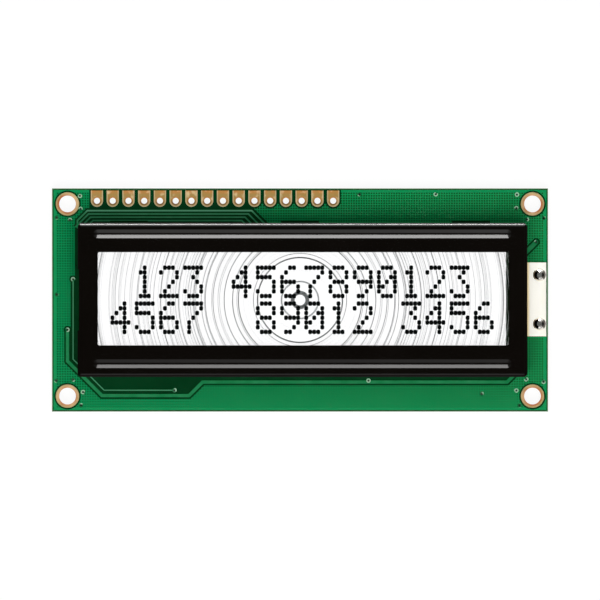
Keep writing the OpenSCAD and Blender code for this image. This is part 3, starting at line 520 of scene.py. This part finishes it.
def paintVias():
    # bright rings, a painted highlight, broken by dull places, where the cloud is under its middle;
    # the upright walls of the holes painted nearly black as painted shade; and dark resin
    look = viaLook
    paint = Paint("viaMask")
    cloud = paint.noise(*look["cloud"])
    ring = paint.mix(paint.ramp(cloud, look["glintFrom"], 1.0), look["dull"], look["ring"])
    # painted shade: the upright walls of the holes get the nearly black wall colour
    paint.set(Base_Color=paint.mix(paint.level(), look["wall"], ring),
              Roughness=paint.spread(cloud, look["rough"]))
    paint.cover("vias")
    plug = Paint("viaResin")
    grain = plug.noise(*look["grain"])
    plug.set(Base_Color=plug.mix(grain, look["resin"], look["resinLight"]),
             Roughness=plug.spread(grain, look["resinRough"]))
    plug.cover("via_plugs")


goldLook = {
    "pinCount": 16, "padHalf": 0.000975,
    "body": linear(178, 142, 74), "pale": linear(222, 198, 148), "paleFrom": 0.5,
    "worn": linear(214, 128, 50), "wornEnd": 0.0002,
    "rim": linear(214, 196, 150), "rimWidth": 0.00016, "rimShare": 0.8,
    "bore": linear(196, 130, 56), "boreLow": linear(120, 76, 24), "boreTurn": (-0.0004, 0.0002),
    "boreReach": 0.00066, "boreSoft": 0.0001, "boreShare": 0.8,
    "cloud": (900.0, 2.4), "rough": (0.36, 0.56), "metal": 0.3,
    "grain": 3000.0, "grainDepth": 0.000006,
    "contactCloud": (1200.0, 1.6), "contactRough": (0.3, 0.45), "contactMetal": 0.9,
}


def paintGold():
    # each pad: redder towards the board's edge, a pale rim along its outline that is a painted
    # highlight on its edge, and a reddish ring round its hole that is a painted reflection of the
    # hole's wall, darker on its lower side as painted shade. From the middle of the pad's own hole,
    # besideX = x less the nearest whole number of pitches and aboveY = y less the row's; away is
    # their distance, and outward is the same with aboveY no more than 0, so that it follows the
    # pad's outline
    look = goldLook
    paint = Paint("platedGold")
    low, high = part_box("header_pads")
    half = look["padHalf"]
    pitch = (high.x - low.x - 2 * half) / (look["pinCount"] - 1)
    fromFirst = paint.calc("SUBTRACT", paint.x, low.x + half)
    steps = paint.calc("ROUND", paint.calc("DIVIDE", fromFirst, pitch))
    besideX = paint.calc("SUBTRACT", fromFirst, paint.calc("MULTIPLY", steps, pitch))
    aboveY = paint.calc("SUBTRACT", paint.y, low.y + half)
    outward = paint.distance(besideX, paint.calc("MINIMUM", aboveY, 0.0))
    away = paint.distance(besideX, aboveY)
    # painted highlight along the pad's edge
    rim = paint.ramp(outward, half - look["rimWidth"] * 1.5, half - look["rimWidth"] * 0.5, 0.0,
                     look["rimShare"])
    # painted reflection of the hole's wall, round the hole
    bore = paint.ramp(away, look["boreReach"], look["boreReach"] + look["boreSoft"],
                      look["boreShare"], 0.0)
    cloud = paint.noise(*look["cloud"])
    worn = paint.ramp(paint.y, low.y + 2 * half, high.y - look["wornEnd"])
    body = paint.mix(paint.calc("MULTIPLY", worn, cloud), look["body"], look["worn"])
    body = paint.mix(paint.ramp(cloud, look["paleFrom"], 1.0), body, look["pale"])
    # painted shade: the ring round the hole is darker on its lower side
    edge = paint.mix(paint.ramp(aboveY, *look["boreTurn"]), look["boreLow"], look["bore"])
    body = paint.mix(bore, body, edge)
    paint.set(Base_Color=paint.mix(rim, body, look["rim"]),
              Roughness=paint.spread(cloud, look["rough"]), Metallic=look["metal"])
    paint.bump(paint.noise(look["grain"]), look["grainDepth"])
    paint.cover("header_pads")


def paintContacts():
    # two golds by one cloud
    look = goldLook
    paint = Paint("contactGold")
    cloud = paint.noise(*look["contactCloud"])
    paint.set(Base_Color=paint.mix(cloud, look["body"], look["pale"]),
              Roughness=paint.spread(cloud, look["contactRough"]), Metallic=look["contactMetal"])
    paint.cover("contact_pads")


ringLook = {
    "radius": 0.001875, "bright": linear(222, 182, 134), "worn": linear(186, 112, 62),
    "outer": linear(190, 178, 124), "rimWidth": 0.00014, "rimShare": 0.75,
    "cloud": (420.0, 3.4, 1.5), "rough": (0.34, 0.54), "metal": 0.3,
    "grain": 2600.0, "grainDepth": 0.000006,
}


def paintRings():
    # the rings lie symmetrically, so one distance, of |x| and |y| less the ring's middle, serves
    # all four
    look = ringLook
    paint = Paint("platedRing")
    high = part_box("mounting_rings")[1]
    offsets = [paint.calc("SUBTRACT", paint.calc("ABSOLUTE", side), reach - look["radius"])
               for side, reach in ((paint.x, high.x), (paint.y, high.y))]
    rim = paint.ramp(paint.distance(*offsets), look["radius"] - 2 * look["rimWidth"],
                     look["radius"] - look["rimWidth"], 0.0, look["rimShare"])
    cloud = paint.noise(*look["cloud"])
    body = paint.mix(cloud, look["worn"], look["bright"])
    paint.set(Base_Color=paint.mix(rim, body, look["outer"]),
              Roughness=paint.spread(cloud, look["rough"]), Metallic=look["metal"])
    paint.bump(paint.noise(look["grain"]), look["grainDepth"])
    paint.cover("mounting_rings")


paintBoard()
paintFields()
paintTracks()
paintVias()
paintGold()
paintContacts()
paintRings()
print("board painted")


bezelLook = {
    "paint": linear(9, 7, 5), "paintLight": linear(15, 12, 10), "cloud": (120.0, 1.2),
    "rough": (0.4, 0.5), "grain": (2400.0, 1.4, 2.0), "grainDepth": 0.0000003,
    "dullCoat": 0.4, "fullCoat": 0.7, "coatSpan": 0.6, "coatRough": 0.15,
    "foldReach": 0.00065, "foldShare": 0.3, "endFoldShare": 0.06,
}


def paintBezel():
    # black enamel under a clear coat, which is thinner along the lower long side and at the folds
    # there and at both ends; coat = share by y * share at the end folds * share at the lower fold
    look = bezelLook
    paint = Paint("blackEnamel")
    low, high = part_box("bezel")
    fold = look["foldReach"]
    crest = fold / 3  # the outer third of a fold is as dull as its edge
    half = (high.x - low.x) / 2
    fromMiddle = paint.calc("ABSOLUTE", paint.calc("SUBTRACT", paint.x, low.x + half))
    endFold = paint.ramp(fromMiddle, half - fold, half - crest, 1.0, look["endFoldShare"])
    lowFold = paint.ramp(paint.y, low.y + crest, low.y + fold, look["foldShare"], 1.0)
    coat = paint.ramp(paint.y, low.y * look["coatSpan"], high.y * look["coatSpan"],
                      look["dullCoat"], look["fullCoat"])
    coat = paint.calc("MULTIPLY", coat, paint.calc("MULTIPLY", endFold, lowFold))
    cloud = paint.noise(*look["cloud"])
    paint.set(Base_Color=paint.mix(cloud, look["paint"], look["paintLight"]),
              Roughness=paint.spread(cloud, look["rough"]), Specular_IOR_Level=0.0,
              Coat_Weight=coat, Coat_Roughness=look["coatRough"])
    paint.bump(paint.noise(*look["grain"]), look["grainDepth"])
    paint.cover("bezel")


paintBezel()
print("bezel painted")


crystalLook = {
    "field": linear(250, 250, 250), "shade": linear(244, 244, 245), "cloud": 60.0,
    "body": linear(100, 100, 100), "edge": linear(10, 38, 2), "edgeSoft": 0.00002,
    "glow": 1.05, "rough": 0.55,
}


def paintCrystal():
    # a lit white field that ends in a dark green strip where the polarizers end
    look = crystalLook
    paint = Paint("litCrystal")
    past = paint.beyond(paint.x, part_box("front_polarizer")[1].x, look["edgeSoft"])
    field = paint.mix(paint.noise(look["cloud"]), look["shade"], look["field"])
    paint.set(Base_Color=paint.mix(past, look["body"], look["edge"]), Roughness=look["rough"],
              Emission_Color=paint.mix(past, field, black), Emission_Strength=look["glow"])
    paint.cover("liquid_crystal")


clearLooks = {
    "cellGlass": {"first": linear(40, 66, 56), "second": linear(50, 76, 66), "alpha": 0.02,
                  "rough": (0.02, 0.07), "pieces": ("front_glass", "rear_glass")},
    "polarizerFilm": {"first": linear(24, 26, 25), "second": linear(36, 38, 36), "alpha": 0.03,
                      "rough": (0.12, 0.17), "pieces": ("front_polarizer", "rear_polarizer")},
    "guideAcrylic": {"first": linear(214, 228, 232), "second": linear(224, 236, 238),
                     "alpha": 0.25, "rough": (0.08, 0.13), "pieces": ("light_guide",)},
}
clearSmears = {"cloud": (90.0, 1.4), "shine": 0.3}


def paintClear(name, look):
    # see-through sheet of two tones by one cloud of faint smears
    paint = Paint(name)
    cloud = paint.noise(*clearSmears["cloud"])
    paint.set(Base_Color=paint.mix(cloud, look["first"], look["second"]), Alpha=look["alpha"],
              Roughness=paint.spread(cloud, look["rough"]),
              Specular_IOR_Level=clearSmears["shine"])
    paint.cover(*look["pieces"])


# sizes in millimetres; each row of digits has the height of its top dots' middles
dotLook = {
    "rows": ((" 123 4567890123 ", 5.2), ("4567  89012 3456", -0.58)),
    "firstX": 3.35, "cellPitch": 3.9, "pitchX": 0.647, "pitchY": 0.76,
    "width": 0.64, "height": 0.75, "round": 0.21, "cornerPoints": 3, "proud": 0.01,
    "ink": linear(1, 1, 2), "inkLight": linear(5, 5, 6), "cloud": (500.0, 1.5),
    "rough": 0.5, "shine": 0.05,
}
digitDots = {
    "0": "01110 10001 10011 10101 11001 10001 01110",
    "1": "00100 01100 00100 00100 00100 00100 01110",
    "2": "01110 10001 00001 00010 00100 01000 11111",
    "3": "11111 00010 00100 00010 00001 10001 01110",
    "4": "00010 00110 01010 10010 11111 00010 00010",
    "5": "11111 10000 11110 00001 00001 10001 01110",
    "6": "00110 01000 10000 11110 10001 10001 01110",
    "7": "11111 00001 00010 00100 01000 01000 01000",
    "8": "01110 10001 10001 01110 10001 10001 01110",
    "9": "01110 10001 10001 01111 00001 00010 01100",
}


def litDots():
    # middles of the dark dots, in millimetres: x = first + cell * cell pitch + column * dot pitch
    # and y = top - row * dot pitch
    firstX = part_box("front_polarizer")[0].x / mm + dotLook["firstX"]
    middles = []
    for text, topY in dotLook["rows"]:
        for cell, digit in enumerate(text):
            if digit == " ":
                continue
            grid = np.array([[c == "1" for c in line] for line in digitDots[digit].split()])
            row, column = np.nonzero(grid)
            x = firstX + cell * dotLook["cellPitch"] + column * dotLook["pitchX"]
            middles.append(np.stack([x, topY - row * dotLook["pitchY"]], -1))
    return np.vstack(middles)


def roundedSquare(width, height, radius, steps):
    # corner's centre + radius * (cosine, sine of turn), a quarter turn at each of four corners
    turn = np.linspace(0.0, np.pi / 2, steps)
    quarter = np.arange(4)[:, None] * np.pi / 2
    corner = np.array([[1, 1], [-1, 1], [-1, -1], [1, -1]])
    x = corner[:, :1] * (width / 2 - radius) + radius * np.cos(quarter + turn)
    y = corner[:, 1:] * (height / 2 - radius) + radius * np.sin(quarter + turn)
    return np.stack([x.ravel(), y.ravel()], -1)


def makeDots():
    # every dot is one outline at two levels, joined by walls and closed above and below
    middles = litDots()
    outline = roundedSquare(dotLook["width"], dotLook["height"], dotLook["round"],
                            dotLook["cornerPoints"])
    low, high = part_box("liquid_crystal")
    flat = (middles[:, None, :] + outline[None, :, :]) * mm
    count, ring = flat.shape[:2]
    lower = np.concatenate([flat, np.full((count, ring, 1), low.z)], -1)
    top = high.z + dotLook["proud"] * mm
    upper = np.concatenate([flat, np.full((count, ring, 1), top)], -1)
    points = np.concatenate([lower, upper], 1).reshape(-1, 3)
    start = np.arange(count)[:, None] * 2 * ring
    step = np.arange(ring)
    after = (step + 1) % ring
    walls = np.stack([start + step, start + after, start + ring + after, start + ring + step], -1)
    tops = start + ring + step
    bottoms = start + step[::-1]
    mesh = bpy.data.meshes.new("display_dots")
    mesh.from_pydata(points.tolist(), [],
                     walls.reshape(-1, 4).tolist() + tops.tolist() + bottoms.tolist())
    dots = bpy.data.objects.new("display_dots", mesh)
    bpy.context.scene.collection.objects.link(dots)
    paint = Paint("darkDots")
    cloud = paint.noise(*dotLook["cloud"])
    paint.set(Base_Color=paint.mix(cloud, dotLook["ink"], dotLook["inkLight"]),
              Roughness=dotLook["rough"], Specular_IOR_Level=dotLook["shine"])
    mesh.materials.append(paint.material)
    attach(dots, "root")


paintCrystal()
for sheetName, sheetLook in clearLooks.items():
    paintClear(sheetName, sheetLook)
makeDots()
print("display cell painted")


stripLook = {"pitch": 0.0001, "carbon": linear(24, 24, 26), "rubber": linear(120, 118, 112),
             "layerEdge": (0.15, 0.3), "cloud": 900.0, "rough": (0.6, 0.75)}


def paintStrips():
    # thin carbon layers between plain rubber: a ramp of |fraction of (x / pitch) - 0.5|
    look = stripLook
    paint = Paint("layeredRubber")
    turns = paint.calc("DIVIDE", paint.x, look["pitch"])
    share = paint.calc("FRACT", paint.calc("ADD", turns, wholeTurns))
    away = paint.calc("ABSOLUTE", paint.calc("SUBTRACT", share, 0.5))
    layer = paint.ramp(away, *look["layerEdge"])
    paint.set(Base_Color=paint.mix(layer, look["carbon"], look["rubber"]),
              Roughness=paint.spread(paint.noise(look["cloud"]), look["rough"]))
    paint.cover("upper_connector_strip", "lower_connector_strip")


tabLook = {
    "white": linear(254, 252, 244), "shade": linear(250, 246, 234), "cloud": (300.0, 1.4),
    "warm": linear(240, 212, 150), "reach": 0.0006, "paintedGlow": 0.27, "paintedGlowFade": 0.926,
    "rough": (0.35, 0.45), "grain": 2000.0, "grainDepth": 0.00001,
}


def paintTab():
    # white mask, tinted with painted warm shade in a narrow strip beside the bezel, and a painted
    # glow that fills the bezel's shade and fades towards the tab's outer end
    look = tabLook
    paint = Paint("whiteMask")
    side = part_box("bezel")[1].x
    cloud = paint.noise(*look["cloud"])
    body = paint.mix(cloud, look["shade"], look["white"])
    # painted warm shade in the strip beside the bezel
    warmShadeNearBezel = paint.ramp(paint.x, side, side + look["reach"], 1.0, 0.0)
    # painted glow, fading away from the bezel
    paintedGlowFade = paint.ramp(paint.x, side + look["reach"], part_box("lamp_board")[1].x, 0.0, look["paintedGlowFade"])
    glow = paint.mix(warmShadeNearBezel, look["white"], look["warm"])
    paint.set(Base_Color=paint.mix(warmShadeNearBezel, body, look["warm"]),
              Roughness=paint.spread(cloud, look["rough"]),
              Emission_Color=paint.mix(paintedGlowFade, glow, black), Emission_Strength=look["paintedGlow"])
    paint.bump(paint.noise(look["grain"]), look["grainDepth"])
    paint.cover("lamp_board")


solderLook = {
    "bright": linear(236, 232, 226), "dull": linear(112, 106, 100), "slope": 0.8,
    "sideReach": 0.00022, "brownMiddle": linear(92, 74, 58), "brownMiddleReach": 0.00032, "brownMiddleShare": 0.85,
    "cloud": (900.0, 1.5), "rough": (0.08, 0.16),
}


def paintTabSolder():
    # a painted reflection: bright across the tab and dull along it, where aside outruns slope *
    # above, with a brown spot in the middle; aside and above are |dx| and |dy| from the middle of
    # the nearer joint
    look = solderLook
    paint = Paint("tabSolder")
    low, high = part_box("tab_solder")
    spread = (high.y - low.y - (high.x - low.x)) / 2
    offsets = [paint.calc("ABSOLUTE", paint.calc("SUBTRACT", side, middle))
               for side, middle in ((paint.x, (low.x + high.x) / 2),
                                    (paint.y, (low.y + high.y) / 2))]
    aside = offsets[0]
    above = paint.calc("ABSOLUTE", paint.calc("SUBTRACT", offsets[1], spread))
    beside = paint.calc("MULTIPLY_ADD", above, -look["slope"], aside)
    # painted reflection: bright across the tab and dull along it
    body = paint.mix(paint.ramp(beside, 0.0, look["sideReach"]), look["bright"], look["dull"])
    middleSpot = paint.ramp(paint.distance(aside, above), look["brownMiddleReach"] / 3, look["brownMiddleReach"],
                       look["brownMiddleShare"], 0.0)
    paint.set(Base_Color=paint.mix(middleSpot, body, look["brownMiddle"]), Metallic=1.0,
              Roughness=paint.spread(paint.noise(*look["cloud"]), look["rough"]))
    paint.cover("tab_solder")


# two tones, the scale of the noise that mottles them, the least roughness and the pieces
plainLooks = {
    "whitePlastic": {"first": linear(226, 226, 220), "second": linear(238, 238, 234),
                     "scale": 500.0, "rough": 0.4, "metal": 0.0, "pieces": ("backlight_frame",)},
    "reflectorWhite": {"first": linear(232, 232, 232), "second": linear(242, 242, 240),
                       "scale": 400.0, "rough": 0.3, "metal": 0.0,
                       "pieces": ("reflector_sheet",)},
    "diffuserWhite": {"first": linear(226, 230, 232), "second": linear(238, 240, 240),
                      "scale": 700.0, "rough": 0.5, "metal": 0.0, "pieces": ("diffuser_film",)},
    "sealResin": {"first": linear(20, 44, 16), "second": linear(32, 58, 24),
                  "scale": 1200.0, "rough": 0.3, "metal": 0.0, "pieces": ("cell_seal",)},
    "plugResin": {"first": linear(196, 180, 120), "second": linear(212, 198, 140),
                  "scale": 900.0, "rough": 0.25, "metal": 0.0, "pieces": ("port_plug",)},
    "lampResin": {"first": linear(232, 214, 120), "second": linear(240, 236, 214),
                  "scale": 700.0, "rough": 0.3, "metal": 0.0, "pieces": ("lamps",)},
    "tinPlate": {"first": linear(176, 176, 172), "second": linear(206, 206, 204),
                 "scale": 1500.0, "rough": 0.3, "metal": 0.9,
                 "pieces": ("lamp_pads", "lead_pads", "lead_wires", "chip_caps")},
    "solderAlloy": {"first": linear(150, 150, 148), "second": linear(196, 196, 194),
                    "scale": 900.0, "rough": 0.22, "metal": 1.0,
                    "pieces": ("back_solder", "chip_solder")},
    "blackEpoxy": {"first": linear(12, 12, 13), "second": linear(22, 22, 23),
                   "scale": 350.0, "rough": 0.22, "metal": 0.0,
                   "pieces": ("controller_dome", "driver_dome")},
    "resistorGlaze": {"first": linear(20, 20, 22), "second": linear(34, 34, 36),
                      "scale": 1500.0, "rough": 0.3, "metal": 0.0, "pieces": ("chip_resistors",)},
    "capacitorTan": {"first": linear(166, 134, 96), "second": linear(184, 152, 112),
                     "scale": 1500.0, "rough": 0.45, "metal": 0.0,
                     "pieces": ("chip_capacitors",)},
}
plainGrain = {"contrast": 1.6, "roughSpan": 0.1, "finer": 4, "depth": 0.000008}


def paintPlain(name, look):
    # two tones by one cloud, with a grain that is a few times finer
    paint = Paint(name)
    cloud = paint.noise(look["scale"], plainGrain["contrast"])
    rough = (look["rough"], look["rough"] + plainGrain["roughSpan"])
    paint.set(Base_Color=paint.mix(cloud, look["first"], look["second"]),
              Roughness=paint.spread(cloud, rough), Metallic=look["metal"])
    paint.bump(paint.noise(look["scale"] * plainGrain["finer"]), plainGrain["depth"])
    paint.cover(*look["pieces"])


paintStrips()
paintTab()
paintTabSolder()
for plainName, plainLook in plainLooks.items():
    paintPlain(plainName, plainLook)
print("backlight, leads and back painted")
